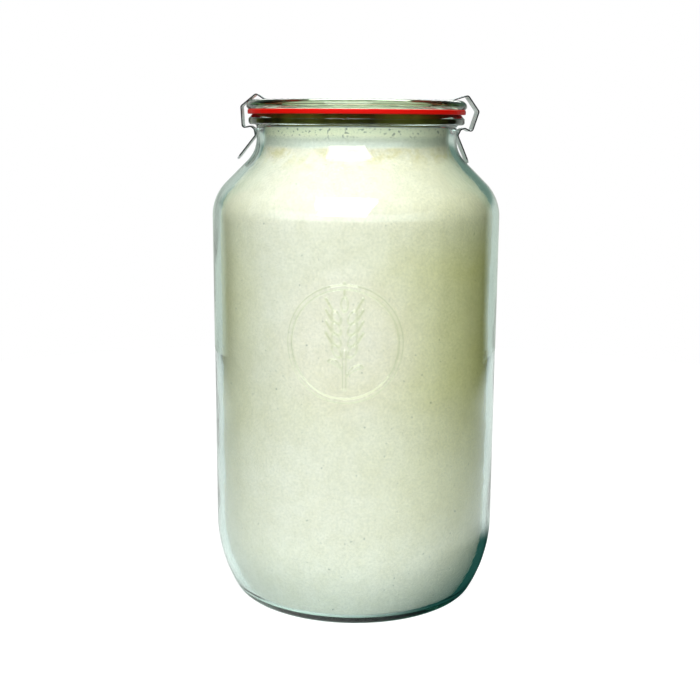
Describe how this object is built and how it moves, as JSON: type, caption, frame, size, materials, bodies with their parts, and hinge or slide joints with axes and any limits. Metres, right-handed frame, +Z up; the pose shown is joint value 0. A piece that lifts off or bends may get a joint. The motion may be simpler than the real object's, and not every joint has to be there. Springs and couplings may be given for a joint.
{
  "type": "sourdough starter jar",
  "caption": "Tall round-shouldered glass canning jar of starter, closed by a flat glass lid on a rubber ring and two bent strip clamps hooked under the rim.",
  "frame": {"origin": "centre of the jar's base, on the surface it stands on", "axes": "+Z up along the jar's axis, +X to the right-hand clamp's side, +Y to the back, where the ring's pull tab is"},
  "size_m": [0.1448, 0.1448, 0.2549],
  "materials": {
    "jar_glass": "clear green-tinted pressed glass, glossy",
    "lid_glass": "clear green-tinted pressed glass, glossy",
    "starter": "matt cream flour paste",
    "rubber": "smooth red natural rubber",
    "spring_steel": "bright rolled stainless strip"
  },
  "bodies": {
    "jar": {"jar": "jar_glass", "starter": "starter"},
    "lid": {"lid": "lid_glass", "gasket": "rubber"},
    "clamp_left": {"clamp_left": "spring_steel"},
    "clamp_right": {"clamp_right": "spring_steel"}
  },
  "joints": [
    {"name": "lid_turn", "type": "hinge", "parent": "jar", "child": "lid", "pos_m": [0, 0, 0.2473], "axis": [0, 0, 1], "continuous": true},
    {"name": "clamp_left_release", "type": "hinge", "parent": "lid", "child": "clamp_left", "pos_m": [-0.04337, 0.00152, 0.2507], "axis": [0.0349, 0.9994, 0], "range_deg": [0, 90]},
    {"name": "clamp_right_release", "type": "hinge", "parent": "lid", "child": "clamp_right", "pos_m": [0.04788, 0.00461, 0.2523], "axis": [0.0958, -0.9954, 0], "range_deg": [0, 90]}
  ]
}
